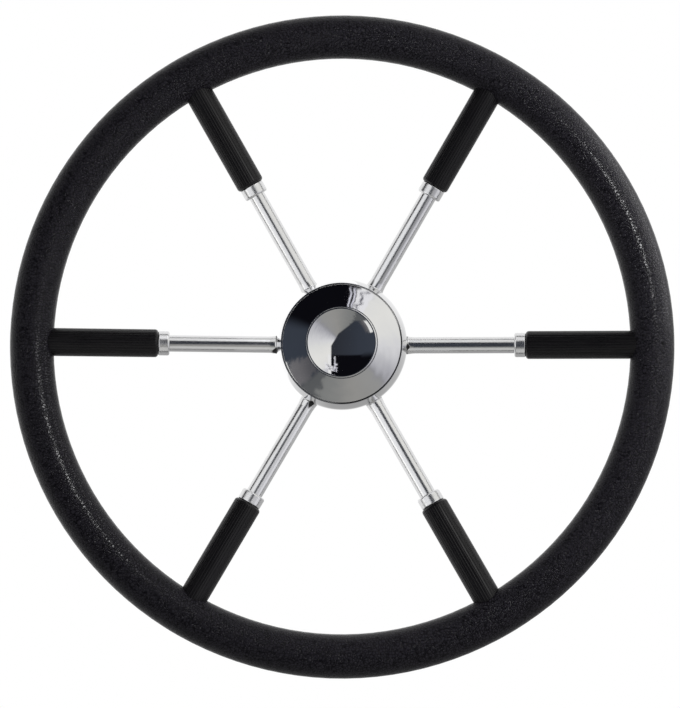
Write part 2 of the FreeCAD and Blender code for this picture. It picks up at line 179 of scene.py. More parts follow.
# %% Do sums and soft steps
def arithmetic(tree, operation, *values):
    """Math node of numbers or sockets."""
    node = add_node(tree, "ShaderNodeMath", operation=operation)
    for socket, value in zip(node.inputs, values):
        if isinstance(value, (int, float)):
            socket.default_value = value
        else:
            tree.links.new(value, socket)
    return node.outputs[0]


def soft_step(tree, value, low, high, before=0.0, after=1.0):
    """One level below low, another above high, smooth between."""
    node = add_node(tree, "ShaderNodeMapRange", interpolation_type="SMOOTHSTEP")
    levels = {"From Min": low, "From Max": high, "To Min": before, "To Max": after}
    for socket_name, level_value in levels.items():
        node.inputs[socket_name].default_value = level_value
    tree.links.new(value, node.inputs["Value"])
    return node.outputs["Result"]


# %% [markdown]
# ## Polished stainless steel
#
# The hub, cap, spokes, collars and welds are all one alloy, but they aren't polished alike. The cap
# is buffed to a mirror, while the bars keep a trace of the belt that ran along them. Stainless is a
# little darker than silver and almost without colour. One recipe makes all of these: a tint with
# faint clouds, a roughness broken up by fine marks, and hardly any relief, because even a hundredth
# of a millimetre bends what a mirror shows. The recipe takes the roughness, the stretch of the
# marks, the strength of the relief and how far the bar was drawn as its arguments. A drawn bar
# smears what it mirrors round the bar less than along it.

# %% Mix the steel finishes
STEEL_TINT = ((0.74, 0.74, 0.745), (0.78, 0.78, 0.785))
BAR_POLISH = {"smoothest": 0.15, "dullest": 0.20, "drawn": 0.85}


def polished_steel(name, smoothest, dullest, stretch=(1, 1, 1), waves=0.3, drawn=0.0):
    """Buffed steel between two roughnesses, its marks stretched, drawn along X or not."""
    steel, shader = new_finish(name)
    tree = steel.node_tree
    if drawn:
        shader.inputs["Anisotropic"].default_value = drawn
        around_bar = add_node(tree, "ShaderNodeTangent", direction_type="RADIAL", axis="X")
        tree.links.new(around_bar.outputs[0], shader.inputs["Tangent"])
    clouds = noise(tree, object_place(tree), 60.0)
    marks = noise(tree, object_place(tree, stretch), 1400.0, 2.0)
    tint = ramp(tree, clouds, [(0.3, STEEL_TINT[0]), (0.7, STEEL_TINT[1])])
    tree.links.new(tint, shader.inputs["Base Color"])
    haze = ramp(tree, marks, [(0.35, smoothest), (0.75, dullest)])
    tree.links.new(haze, shader.inputs["Roughness"])
    relief(tree, shader, clouds, 0.00002, waves)
    shader.inputs["Metallic"].default_value = 1.0
    return steel


mirror_steel = polished_steel("mirror_steel", 0.035, 0.085)
bar_steel = polished_steel("bar_steel", stretch=(0.05, 1, 1), **BAR_POLISH)
collar_steel = polished_steel("collar_steel", 0.22, 0.30, stretch=(1, 0.2, 0.2))
weld_steel = polished_steel("weld_steel", waves=0.5, **BAR_POLISH)
hoop_steel = polished_steel("hoop_steel", 0.20, 0.35)
print("steel finishes:", mirror_steel.name, bar_steel.name, collar_steel.name, weld_steel.name)

# %% [markdown]
# ## The grip's leather grain
#
# The rim is foamed in a mould whose walls were etched from leather, so the black skin carries a
# network of fine wriggly creases with flat tops between them, a millimetre or two across. The
# distance to the edge of a Voronoi cell gives both: it rises from zero in the crease and is cut off
# where the flat top begins. Its place is first pushed about by a noise, which makes the straight
# cell walls wriggle. A second, softer noise tips the tops a little, so that only some of them
# sparkle where a lamp is mirrored. The creases are painted almost black, as painted shade where
# light doesn't reach into them.

# %% Mix the grip's finish
CELLS, CREASE_EDGES, GRAIN_DEPTH = 600.0, (0.02, 0.17), 0.00014  # cells a metre, shares, metres
WRIGGLES, WRIGGLE_REACH, TILTS = 900.0, 0.0011, 1100.0
CREASE_PAINTED_SHADE, SKIN_BLACK = (0.0015, 0.0013, 0.0020), (0.0102, 0.0095, 0.0122)

grip_finish, shader = new_finish("grained_grip")
tree = grip_finish.node_tree
place = object_place(tree)
push = add_node(tree, "ShaderNodeTexNoise", Scale=WRIGGLES, Detail=2.0)
tree.links.new(place, push.inputs["Vector"])
wriggle = add_node(tree, "ShaderNodeVectorMath", operation="SCALE")
tree.links.new(push.outputs["Color"], wriggle.inputs[0])
wriggle.inputs["Scale"].default_value = WRIGGLE_REACH
bent_place = add_node(tree, "ShaderNodeVectorMath", operation="ADD")
tree.links.new(place, bent_place.inputs[0])
tree.links.new(wriggle.outputs[0], bent_place.inputs[1])
cells = add_node(tree, "ShaderNodeTexVoronoi", feature="DISTANCE_TO_EDGE", Scale=CELLS)
tree.links.new(bent_place.outputs[0], cells.inputs["Vector"])
off_crease = cells.outputs["Distance"]
flat_tops = ramp(tree, off_crease, [(CREASE_EDGES[0], 0.0), (CREASE_EDGES[1], 1.0)])
relief(tree, shader, flat_tops, GRAIN_DEPTH)
relief(tree, shader, noise(tree, place, TILTS, 1.0), GRAIN_DEPTH, 0.8)
# Painted shade: the colour turns almost black down in the creases.
skin = ramp(tree, off_crease, [(CREASE_EDGES[0], CREASE_PAINTED_SHADE), (0.22, SKIN_BLACK)])
tree.links.new(skin, shader.inputs["Base Color"])
worn = noise(tree, place, 40.0)
tree.links.new(ramp(tree, worn, [(0.3, 0.15), (0.7, 0.20)]), shader.inputs["Roughness"])
shader.inputs["Specular IOR Level"].default_value = 0.09
print("grip finish:", grip_finish.name, "of", len(tree.nodes), "nodes")

# %% [markdown]
# ## The sleeves' satin plastic and the ring's rubber
#
# The sleeves are a harder moulding than the grip. They are nearly black with a satin gloss and
# faint draw marks along their length from leaving the mould. The flutes themselves are in the mesh,
# so the finish only adds those marks. The ring under the cap is plain matt rubber.

# %% Mix the two black finishes
sleeve_finish, shader = new_finish("satin_sleeve")
tree = sleeve_finish.node_tree
draw_marks = noise(tree, object_place(tree, (0.06, 1, 1)), 1100.0, 4.0)
tree.links.new(ramp(tree, draw_marks, [(0.3, 0.22), (0.7, 0.32)]), shader.inputs["Roughness"])
plastic = ramp(tree, draw_marks, [(0.3, (0.0040, 0.0036, 0.0044)), (0.7, (0.0075, 0.0068, 0.0078))])
tree.links.new(plastic, shader.inputs["Base Color"])
shader.inputs["Specular IOR Level"].default_value = 0.3
relief(tree, shader, draw_marks, 0.00005, 0.4)
relief(tree, shader, noise(tree, object_place(tree), 2500.0, 2.0), 0.00002, 0.4)

ring_rubber, shader = new_finish("ring_rubber")
tree = ring_rubber.node_tree
bloom = noise(tree, object_place(tree), 500.0)
rubber = ramp(tree, bloom, [(0.3, (0.012, 0.012, 0.012)), (0.7, (0.020, 0.020, 0.020))])
tree.links.new(rubber, shader.inputs["Base Color"])
tree.links.new(ramp(tree, bloom, [(0.3, 0.6), (0.7, 0.8)]), shader.inputs["Roughness"])
print("black finishes:", sleeve_finish.name, ring_rubber.name)

# %% [markdown]
# ## A lathe in mesh code
#
# Points and faces that are worked out in code become an object in one helper. It merges doubled
# points, turns the faces outwards and gives the piece its finish. Edges are shaded smooth unless
# they are sharper than an angle, so that rounded corners stay round and turned shoulders stay
# crisp.

# %% Make an object from points in millimetres
SAME_POINT = 1e-7  # metres


def finish_mesh(name, points, faces, finish, sharp=35.0):
    """Object from points in millimetres, shaded smooth but for edges sharper than an angle."""
    mesh = bpy.data.meshes.new(name)
    mesh.from_pydata([Vector(point) * MM for point in points], [], faces)
    work = bmesh.new()
    work.from_mesh(mesh)
    bmesh.ops.remove_doubles(work, verts=work.verts, dist=SAME_POINT)
    bmesh.ops.recalc_face_normals(work, faces=work.faces)
    work.to_mesh(mesh)
    work.free()
    mesh.polygons.foreach_set("use_smooth", [True] * len(mesh.polygons))
    mesh.set_sharp_from_angle(angle=math.radians(sharp))
    mesh.materials.append(finish)
    piece = bpy.data.objects.new(name, mesh)
    scene.collection.objects.link(piece)
    return piece


# %% [markdown]
# The cap, the bars and the collars are turned parts. A screw modifier could spin a profile, but the
# profile would have to be an object of its own. Here a closed outline is turned in code instead:
# the outline is a list of points given as radius and height, and each pair of neighbours makes one
# ring of faces. A point on the axis has no ring, so the faces beside it are triangles.

# %% Turn an outline
ON_AXIS = 1e-6  # millimetres


def arc(centre, radius, start, end, steps):
    """Points along an arc in the drawing plane, angles in degrees from the first axis."""
    angles = [math.radians(start + (end - start) * step / steps) for step in range(steps + 1)]
    return [(centre[0] + radius * math.cos(a), centre[1] + radius * math.sin(a)) for a in angles]


def lathe(outline, turns):
    """Points and faces of an outline of (radius, height) points, turned about the height's axis."""
    points, faces = [], []
    count = len(outline)
    for turn in range(turns):
        angle = 2 * math.pi * turn / turns
        for radius, height in outline:
            points.append((radius * math.cos(angle), radius * math.sin(angle), height))
    for turn in range(turns):
        here, there = turn * count, (turn + 1) % turns * count
        for number in range(count):
            follow = (number + 1) % count
            on_axis = outline[number][0] < ON_AXIS
            follow_on_axis = outline[follow][0] < ON_AXIS
            if on_axis and follow_on_axis:
                continue
            corners = [here + number, there + number, there + follow, here + follow]
            if on_axis:
                corners.pop(1)
            elif follow_on_axis:
                corners.pop(2)
            faces.append(corners)
    return points, faces


# %% [markdown]
# ## The mirror cap
#
# The cap is one turned piece that closes the hub. From outside in, it has a short wall with an
# undercut hem, a rounded edge, a cone at 29 degrees, a fine groove, a small rounded bead, and a
# shallow dish. Each of these shows a different part of the room, so their angles matter more than
# their size: the cone looks at the walls, the bead draws a thin bright ring, and the dish shows the
# whole room upside down. Heights are measured from the hub's back face.

# %% Write down the cap's section
SEAT_RADIUS, SEAT_HEIGHT = 36.4, 34.5
HEM_TOP, HEM_BOTTOM = (36.4, 35.72), (35.75, 35.34)
EDGE_ROUND, EDGE_CENTRE = 0.3, (35.45, 36.588)
CONE_START, CONE_END, CONE_BOW = (35.597, 36.850), (21.75, 44.6), 0.08
BEAD_CENTRE, BEAD_ROUND = (20.409, 44.20), 0.95
DISH_RADIUS, DISH_CENTRE = 34.0, 72.572
EDGE_SWEEP, BEAD_START = 60.76, 20.3  # degrees that the edge turns, and where the bead begins
GROOVE_FLOOR = [(21.575, 44.35), (21.36, 44.35)]
DISH_SLOPE = 35.73  # angle at which the dish runs into the bead
CAP_WALL, BACK_RADIUS, BACK_HEIGHT = 2.0, 20.1, 39.453
SPIGOT_RADIUS, SPIGOT_BORE, SPIGOT_END = 30.85, 26.85, 28.5
RING_GROOVE_RADIUS, RING_GROOVE = 28.96, (30.3, 32.7)
print("cap:", 2 * SEAT_RADIUS, "mm across")

# %% [markdown]
# The outline goes round the section once. Buffing leaves the cone bowed by less than a tenth of a
# millimetre, which can't be felt but spreads the reflections a little: a point of the cone is found
# part of the way between its two ends, and pushed out by the bow. The lathe turns everything about
# Z, so one rotation lays that axis along the wheel's, towards the front.

# %% Turn the cap
CONE_STEPS, AROUND_CAP = 24, 256
FACING = Matrix.Rotation(math.pi / 2, 4, "X")


def bowed(first, second, bow, share):
    """Point part of the way between two points, on a line that bows outwards in its middle."""
    run, climb = second[0] - first[0], second[1] - first[1]
    out = 4 * bow * share * (1 - share) / math.hypot(run, climb)
    return first[0] + run * share + climb * out, first[1] + climb * share - run * out


back_sweep = math.degrees(math.asin(BACK_RADIUS / (DISH_RADIUS + CAP_WALL))) - 90
cone_shares = [step / CONE_STEPS for step in range(1, CONE_STEPS + 1)]
cap_outline = (
    [(SPIGOT_RADIUS, SEAT_HEIGHT), (SEAT_RADIUS, SEAT_HEIGHT), HEM_TOP, HEM_BOTTOM]
    + arc(EDGE_CENTRE, EDGE_ROUND, 0, EDGE_SWEEP, 12)
    + [bowed(CONE_START, CONE_END, CONE_BOW, share) for share in cone_shares]
    + GROOVE_FLOOR
    + arc(BEAD_CENTRE, BEAD_ROUND, BEAD_START, 90 + DISH_SLOPE, 24)
    + arc((0, DISH_CENTRE), DISH_RADIUS, DISH_SLOPE - 90, -90, 56)[1:]
    + arc((0, DISH_CENTRE), DISH_RADIUS + CAP_WALL, -90, back_sweep, 20)
    + [(SPIGOT_BORE, BACK_HEIGHT), (SPIGOT_BORE, SPIGOT_END), (SPIGOT_RADIUS, SPIGOT_END)]
    + [(SPIGOT_RADIUS, RING_GROOVE[0]), (RING_GROOVE_RADIUS, RING_GROOVE[0])]
    + [(RING_GROOVE_RADIUS, RING_GROOVE[1]), (SPIGOT_RADIUS, RING_GROOVE[1])]
)
points, faces = lathe(cap_outline, AROUND_CAP)
cap = finish_mesh("mirror_cap", points, faces, mirror_steel)
cap.matrix_world = FACING
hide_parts("hub_cap")
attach(cap, "root")
print("cap:", len(cap.data.polygons), "faces")

# %% [markdown]
# At its foot the cap is undercut by a narrow hem, and the gap there lies in shade on the lower
# right
# side. That shade is painted: the finish of the hem's faces goes from steel to a dark colour with
# the place on the ring. A direction is chosen, and the further a face lies towards it, the more of
# it is painted shade.

# %% Paint shade in the hem
SHADE_CLOCK = math.radians(40.0)  # from the right, clockwise


def add_painted_shade(tree, shader, unshaded, darkest, brightest):
    """Steel where unshaded is 1 and dark painted shade where it is 0."""
    tree.links.new(unshaded, shader.inputs["Metallic"])
    shades = ramp(tree, unshaded, [(0.0, darkest), (1.0, brightest)])
    tree.links.new(shades, shader.inputs["Base Color"])


hem_finish, shader = new_finish("hem_painted_shade")
tree = hem_finish.node_tree
ring_place = add_node(tree, "ShaderNodeSeparateXYZ")
tree.links.new(object_place(tree), ring_place.inputs[0])
turned_right = math.cos(SHADE_CLOCK) / (HEM_TOP[0] * MM)
turned_down = -math.sin(SHADE_CLOCK) / (HEM_TOP[0] * MM)
towards = arithmetic(tree, "MULTIPLY", ring_place.outputs["X"], turned_right)
towards = arithmetic(tree, "MULTIPLY_ADD", ring_place.outputs["Y"], turned_down, towards)
# Painted shade: hem faces towards the lower right turn dark and lose their metal, standing in for
# the shadow in the gap.
unshaded = ramp(tree, towards, [(0.45, 1.0), (0.62, 0.0)])
add_painted_shade(tree, shader, unshaded, 0.015, 0.70)
scratches = noise(tree, object_place(tree), 600.0)
tree.links.new(ramp(tree, scratches, [(0.3, 0.3), (0.7, 0.5)]), shader.inputs["Roughness"])
cap.data.materials.append(hem_finish)
hem_faces = [
    face for face in cap.data.polygons
    if HEM_BOTTOM[0] * MM < math.hypot(*face.center[:2]) < HEM_TOP[0] * MM
    and HEM_BOTTOM[1] * MM < face.center.z < HEM_TOP[1] * MM
]
for face in hem_faces:
    face.material_index = 1
print("faces with painted shade:", len(hem_faces))

# %% [markdown]
# ## Where a spoke lies
#
# The six spokes rise from the hub to the rim at a small rake, so their axes would all meet in one
# point on the wheel's axis. A frame in that point, turned by 60 degrees a spoke and leaned back by
# the rake, has its X axis along the spoke. Each piece of a spoke is then drawn along X once and
# placed six times.

# %% Frame of one spoke
RIM_RADIUS, RIM_HEIGHT = 187.0, 38.0
HUB_RADIUS, SPOKE_HEIGHT = 40.0, 20.0
RAKE = math.atan((RIM_HEIGHT - SPOKE_HEIGHT) / (RIM_RADIUS - HUB_RADIUS))
APEX = SPOKE_HEIGHT - HUB_RADIUS * math.tan(RAKE)
SLEEVE_START = 111.8
HOOP_REACH, WALL_REACH, SLEEVE_REACH = (
    radius / math.cos(RAKE) for radius in (RIM_RADIUS, HUB_RADIUS, SLEEVE_START)
)


def spoke_place(number):
    """Frame whose X axis is the spoke's axis, from the point where all six would meet."""
    turn = Matrix.Rotation(math.radians(60 * (number - 1)), 4, "Z")
    return FACING @ Matrix.Translation((0, 0, APEX * MM)) @ turn @ Matrix.Rotation(-RAKE, 4, "Y")


def along_x(points):
    """The same points with the lathe's axis turned to X."""
    return [(z, x, y) for x, y, z in points]


print("rake of the spokes:", round(math.degrees(RAKE), 2), "degrees")

# %% [markdown]
# ## The bars
#
# A spoke is a straight length of 10 mm round bar. It starts in a socket inside the hub and ends on
# the steel hoop in the rim, and most of its outer half is hidden by the sleeve. It is the plainest
# job for the lathe.

# %% Turn the six bars
BAR_RADIUS = 5.0
IN_SOCKET, SHORT_OF_HOOP = 8.0, 5.5
pieces_by_kind = {"bars": [], "welds": [], "collars": [], "sleeves": []}


def put_on_spoke(piece, number, kind):
    """Places a piece on its spoke and lets it ride on the wheel."""
    piece.matrix_world = spoke_place(number)
    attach(piece, "root")
    pieces_by_kind[kind].append(piece)


bar_start, bar_end = WALL_REACH - IN_SOCKET, HOOP_REACH - SHORT_OF_HOOP
bar_outline = [(0.0, bar_start), (BAR_RADIUS, bar_start), (BAR_RADIUS, bar_end), (0.0, bar_end)]
bar_points, bar_faces = lathe(bar_outline, 96)
for number in range(1, 7):
    bar = finish_mesh(f"spoke_bar_{number}", along_x(bar_points), bar_faces, bar_steel)
    put_on_spoke(bar, number, "bars")
    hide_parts(f"spoke_{number}")
print("bars:", len(pieces_by_kind["bars"]))

# %% [markdown]
# ## The welds
#
# Each bar is welded to the hub all round, and the weld is ground until it is hardly more than a
# slight swelling of the bar that turns up to the barrel-shaped wall in a small fillet. A turned
# ring wouldn't do: the wall curves away on both sides of the bar, so the ring would float there.
# The swelling is therefore turned, but each line of it ends where it truly meets the wall. The wall
# is an arc turned about the wheel's axis, and the meeting point is found by halving a range.

# %% Find where a line meets the hub's wall
BARREL_ARC_CENTRE, BARREL_ARC_RADIUS = (16.24, 24.0), 23.76
NEAR_WALL, HALVINGS = (25.0, 50.0), 36


def wheel_place(reach, radius, angle):
    """Distance from the wheel's axis and height over its back of a point round a spoke, in mm."""
    point = Vector((reach, radius * math.sin(angle), radius * math.cos(angle)))
    leaned = Matrix.Rotation(-RAKE, 3, "Y") @ point
    return math.hypot(leaned.x, leaned.y), leaned.z + APEX


def nearest_reach(low, high, is_before):
    """Halves a range of reaches until it closes on the first one past a test."""
    for _ in range(HALVINGS):
        middle = (low + high) / 2
        if is_before(middle):
            low = middle
        else:
            high = middle
    return low


def wall_reach(radius, angle):
    """Reach at which a line at a radius and angle round the spoke meets the hub's wall."""
    def inside(reach):
        away, height = wheel_place(reach, radius, angle)
        rise_of_arc = math.sqrt(BARREL_ARC_RADIUS ** 2 - (height - BARREL_ARC_CENTRE[1]) ** 2)
        return away < BARREL_ARC_CENTRE[0] + rise_of_arc
    return nearest_reach(*NEAR_WALL, inside)


top_and_side = [round(wall_reach(BAR_RADIUS, angle), 2) for angle in (0, math.pi / 2)]
print("wall at the bar's top and side:", top_and_side, "mm")

# %% [markdown]
# A line of the weld begins inside the bar, follows the swelling and turns up in a small curve. Each
# point of that curve is measured from the wall at its own radius, so the fillet clings to the wall
# all round. The lines side by side are the mesh, and it closes into a ring.

# %% Run a fillet round each bar
SWELLING, SWELLING_START, SWELLING_END = 0.62, -0.9, 4.8  # mm from the hub's widest circle
SWELLING_CURVE, UNDER_BAR = 1.3, 0.005
FILLET_ALONG, FILLET_UP, FILLET_RADIUS = 0.8, 0.6, 5.6
IN_BAR, IN_WALL, PAST_END = 0.4, 0.8, 0.1  # mm by which the weld's hidden sides lie deeper
AROUND_WELD, SWELLING_STEPS, FILLET_STEPS = 96, 20, 12


def ring_faces(rows, around):
    """Faces between rows of a closed tube, the last row joined to the first."""
    faces = []
    for row in range(rows):
        under = (row + 1) % rows
        here, there = row * around, under * around
        for number in range(around):
            after = (number + 1) % around
            faces.append((here + number, here + after, there + after, there + number))
    return faces


def swelling_radius(reach):
    """Radius of the weld's turned part, which runs out onto the bar."""
    share = (SWELLING_END - (reach - WALL_REACH)) / (SWELLING_END - SWELLING_START)
    return BAR_RADIUS - UNDER_BAR + SWELLING * max(0.0, share) ** SWELLING_CURVE


def weld_line(angle):
    """One line of the weld from the bar to the wall, as (reach, radius) points."""
    meeting = wall_reach(FILLET_RADIUS, angle)
    start, end = WALL_REACH + SWELLING_END, meeting + FILLET_ALONG
    line = [(start + PAST_END, BAR_RADIUS - IN_BAR)]
    for step in range(SWELLING_STEPS):
        reach = start + (end - start) * step / SWELLING_STEPS
        line.append((reach, swelling_radius(reach)))
    for step in range(FILLET_STEPS + 1):
        turned = math.pi / 2 * step / FILLET_STEPS
        reach = meeting + FILLET_ALONG * (1 - math.sin(turned))
        radius = swelling_radius(reach) + FILLET_UP * (1 - math.cos(turned))
        line.append((reach - meeting + wall_reach(radius, angle), radius))
    hidden_end = line[-1][0] - IN_WALL
    return line + [(hidden_end, line[-1][1]), (hidden_end, BAR_RADIUS - IN_BAR)]


def weld_mesh():
    """Points and faces of the weld round one bar, drawn along X."""
    angles = [2 * math.pi * number / AROUND_WELD for number in range(AROUND_WELD)]
    lines = [weld_line(angle) for angle in angles]
    points = [
        (line[row][0], line[row][1] * math.sin(angle), line[row][1] * math.cos(angle))
        for row in range(len(lines[0])) for line, angle in zip(lines, angles)
    ]
    return points, ring_faces(len(lines[0]), AROUND_WELD)


weld_points, weld_faces = weld_mesh()
for number in range(1, 7):
    weld = finish_mesh(f"weld_{number}", weld_points, weld_faces, weld_steel)
    put_on_spoke(weld, number, "welds")
reaches = [point[0] for point in weld_points]
print("weld reaches from", round(min(reaches), 2), "to", round(max(reaches), 2), "mm")

# %% [markdown]
# Where three of the welds meet the hub, the corner lies in shade. That shade is painted into the
# steel at the foot, in a narrow band with one longer streak. Both are told from the place along the
# spoke, divided by a length that is greatest at the middle of the streak. Each row of the list
# below
# is one weld: its number, where its band begins, and the streak's place across the bar and
# length.

# %% Paint shade at the foot of three welds
SHADE_BAND, SHADE_STREAK_HALF_WIDTH = 1.7, 2.6  # mm
SHADED_WELDS = ((1, -0.9, -1.2, 3.8), (4, -0.7, 4.2, 4.6), (5, -1.9, 2.0, 7.0))  # mm


def painted_shade_weld_steel(name, begin, across, length):
    """Weld steel with painted shade at its foot from a place on, and a longer streak of it at a
    place across the bar.
    """
    steel = polished_steel(name, waves=0.5, **BAR_POLISH)
    tree = steel.node_tree
    shader = next(node for node in tree.nodes if node.type == "BSDF_PRINCIPLED")
    weld_place = add_node(tree, "ShaderNodeSeparateXYZ")
    tree.links.new(object_place(tree), weld_place.inputs[0])
    off_streak = arithmetic(tree, "SUBTRACT", weld_place.outputs["Y"], across * MM)
    beside = arithmetic(tree, "ABSOLUTE", off_streak)
    band = soft_step(tree, beside, 0.0, SHADE_STREAK_HALF_WIDTH * MM, length * MM, SHADE_BAND * MM)
    past_start = arithmetic(tree, "SUBTRACT", weld_place.outputs["X"], (WALL_REACH + begin) * MM)
    share = arithmetic(tree, "DIVIDE", past_start, band)
    # Painted shade: the weld's foot turns dark and loses its metal, standing in for the shade where
    # the weld meets the hub.
    unshaded = ramp(tree, share, [(0.0, 1.0), (0.15, 0.0), (0.75, 0.0), (1.0, 1.0)])
    add_painted_shade(tree, shader, unshaded, 0.008, 0.76)
    shader.inputs["Specular IOR Level"].default_value = 0.2
    return steel


for number, begin, across, length in SHADED_WELDS:
    weld = pieces_by_kind["welds"][number - 1]
    weld.data.materials[0] = painted_shade_weld_steel(f"painted_shade_weld_{number}", begin, across, length)
print("welds with painted shade:", len(SHADED_WELDS))

# %% [markdown]
# ## The collars
#
# A short turned collar closes the joint between the bright bar and the black sleeve. It is bored
# for the bar, stands 2.4 mm proud of it, and is rounded at both ends. Only its outline differs from
# the bar's, so the lathe makes it too.

# %% Turn the six collars
COLLAR_RADIUS, COLLAR_LENGTH = 7.4, 6.8
COLLAR_FRONT_ROUND, COLLAR_BACK_ROUND = 1.2, 0.8
STRAIGHT = 0.1  # mm of straight line kept beside each rounding, so that it is shaded flat
BORE_RADIUS = 5.02
collar_start = SLEEVE_REACH - COLLAR_LENGTH
front_centre = (COLLAR_RADIUS - COLLAR_FRONT_ROUND, collar_start + COLLAR_FRONT_ROUND)
back_centre = (COLLAR_RADIUS - COLLAR_BACK_ROUND, SLEEVE_REACH - COLLAR_BACK_ROUND)
collar_outline = (
    [(BORE_RADIUS, collar_start), (front_centre[0] - STRAIGHT, collar_start)]
    + arc(front_centre, COLLAR_FRONT_ROUND, -90, 0, 14)
    + [(COLLAR_RADIUS, front_centre[1] + STRAIGHT), (COLLAR_RADIUS, back_centre[1] - STRAIGHT)]
    + arc(back_centre, COLLAR_BACK_ROUND, 0, 90, 12)
    + [(back_centre[0] - STRAIGHT, SLEEVE_REACH), (BORE_RADIUS, SLEEVE_REACH)]
)
collar_points, collar_faces = lathe(collar_outline, 128)
for number in range(1, 7):
    name = f"turned_collar_{number}"
    collar = finish_mesh(name, along_x(collar_points), collar_faces, collar_steel)
    put_on_spoke(collar, number, "collars")
    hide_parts(f"collar_{number}")
print("collars:", len(pieces_by_kind["collars"]), "of", len(collar_faces), "faces each")

# %% [markdown]
# ## The fluted sleeves
#
# The sleeve is a moulding with thirty narrow flutes between broad lands. The flutes could be bump,
# but they catch the light as thin lines and notch the outline, so they belong in the mesh. Round
# the sleeve, the radius is the smaller of two values: the full one, and the depth of a round cutter
# that is set into the surface. A soft minimum of the two leaves a small radius on each land's edge,
# as a mould does. At the hub's end the sleeve is rounded over, and at the rim it is coped to the
# grip, so each line along it runs as far as the grip's own surface.

# %% Shape one flute
SLEEVE_RADIUS, SLEEVE_ROUND = 8.5, 2.0
FLUTES, CUTTER_RADIUS, CUTTER_HEIGHT = 30, 0.35, 8.68
LAND_SOFTNESS = 0.05


def soft_minimum(first, second):
    """The smaller of two lengths, blended where they are close."""
    low, high = min(first, second), max(first, second)
    return low - LAND_SOFTNESS * math.log1p(math.exp((low - high) / LAND_SOFTNESS))


def flute_radius(angle):
    """Sleeve's radius at an angle round it."""
    pitch = 2 * math.pi / FLUTES
    off = ((angle / pitch + 0.5) % 1 - 0.5) * pitch
    across = CUTTER_HEIGHT * math.sin(off)
    if abs(across) >= CUTTER_RADIUS:
        return SLEEVE_RADIUS
    cut = CUTTER_HEIGHT * math.cos(off) - math.sqrt(CUTTER_RADIUS ** 2 - across ** 2)
    return soft_minimum(SLEEVE_RADIUS, cut)


land, flute = flute_radius(math.pi / FLUTES), flute_radius(0.0)
print("land and flute radii:", round(land, 3), round(flute, 3))

# %% [markdown]
# The grip is a ring of round section, so a line on the sleeve has reached it when it is no further
# than the section's radius from the middle of the rim. The same halving of a range finds the place.

# %% Find where a line meets the grip
GRIP_RADIUS = 13.0


def grip_reach(radius, angle):
    """Reach at which a line at a radius and angle round the spoke meets the grip."""
    def clear(reach):
        away, height = wheel_place(reach, radius, angle)
        return math.hypot(away - RIM_RADIUS, height - RIM_HEIGHT) > GRIP_RADIUS
    return nearest_reach(SLEEVE_REACH, HOOP_REACH, clear)


print("grip at the sleeve's top:", round(grip_reach(SLEEVE_RADIUS, 0.0), 2), "mm")

# %% [markdown]
# The rows of the sleeve's mesh go from its bore at the hub's end, over the rounding, along the
# outside to the grip, and back through the bore. Sixteen points a flute keep each flute round.

# %% Mesh the sleeve
AROUND_SLEEVE = FLUTES * 16
ROUND_STEPS, LENGTH_STEPS, END_STEPS = 12, 12, 5
RIM_END_ROUND = 0.35
SHARP_SLEEVE_EDGE = 60.0  # degrees


def sleeve_mesh():
    """Points and faces of one sleeve, drawn along X."""
    angles = [2 * math.pi * number / AROUND_SLEEVE for number in range(AROUND_SLEEVE)]
    outside = [flute_radius(angle) for angle in angles]
    ends = [grip_reach(radius, angle) for radius, angle in zip(outside, angles)]
    rows = [[(SLEEVE_REACH, BORE_RADIUS)] * AROUND_SLEEVE]
    for step in range(ROUND_STEPS + 1):
        turned = math.pi / 2 * step / ROUND_STEPS
        reach = SLEEVE_REACH + SLEEVE_ROUND * (1 - math.cos(turned))
        over = SLEEVE_RADIUS - SLEEVE_ROUND * (1 - math.sin(turned))
        rows.append([(reach, min(radius, over)) for radius in outside])
    start = SLEEVE_REACH + SLEEVE_ROUND
    for share in [step / LENGTH_STEPS for step in range(1, LENGTH_STEPS)]:
        rows.append([
            (start + (end - RIM_END_ROUND - start) * share, radius)
            for radius, end in zip(outside, ends)
        ])
    for step in range(END_STEPS + 1):
        turned = math.pi / 2 * step / END_STEPS
        short, under = (RIM_END_ROUND * (1 - part) for part in (math.sin(turned), math.cos(turned)))
        rows.append([(end - short, radius - under) for radius, end in zip(outside, ends)])
    rows.append([(end, BORE_RADIUS) for end in ends])
    points = [
        (reach, radius * math.sin(angle), radius * math.cos(angle))
        for row in rows for (reach, radius), angle in zip(row, angles)
    ]
    return points, ring_faces(len(rows), AROUND_SLEEVE)


sleeve_points, sleeve_faces = sleeve_mesh()
for number in range(1, 7):
    name = f"fluted_sleeve_{number}"
    sleeve = finish_mesh(name, sleeve_points, sleeve_faces, sleeve_finish, SHARP_SLEEVE_EDGE)
    put_on_spoke(sleeve, number, "sleeves")
    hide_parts(f"spoke_sleeve_{number}")
longest = max(point[0] for point in sleeve_points)
print("sleeve:", len(sleeve_faces), "faces, longest reach", round(longest, 2), "mm")

# %% [markdown]
# ## The pieces that stay as CAD made them
#
# The hub's body, the grip, the hoop inside it and the ring under the cap already have their true
# shape, so their meshes stay. They only get finishes: mirror steel for the hub, the grained skin
# for the grip, a duller steel for the hidden hoop, and rubber for the ring. The nodes that the
# pieces above replace aren't shown, but they get their finishes as well.

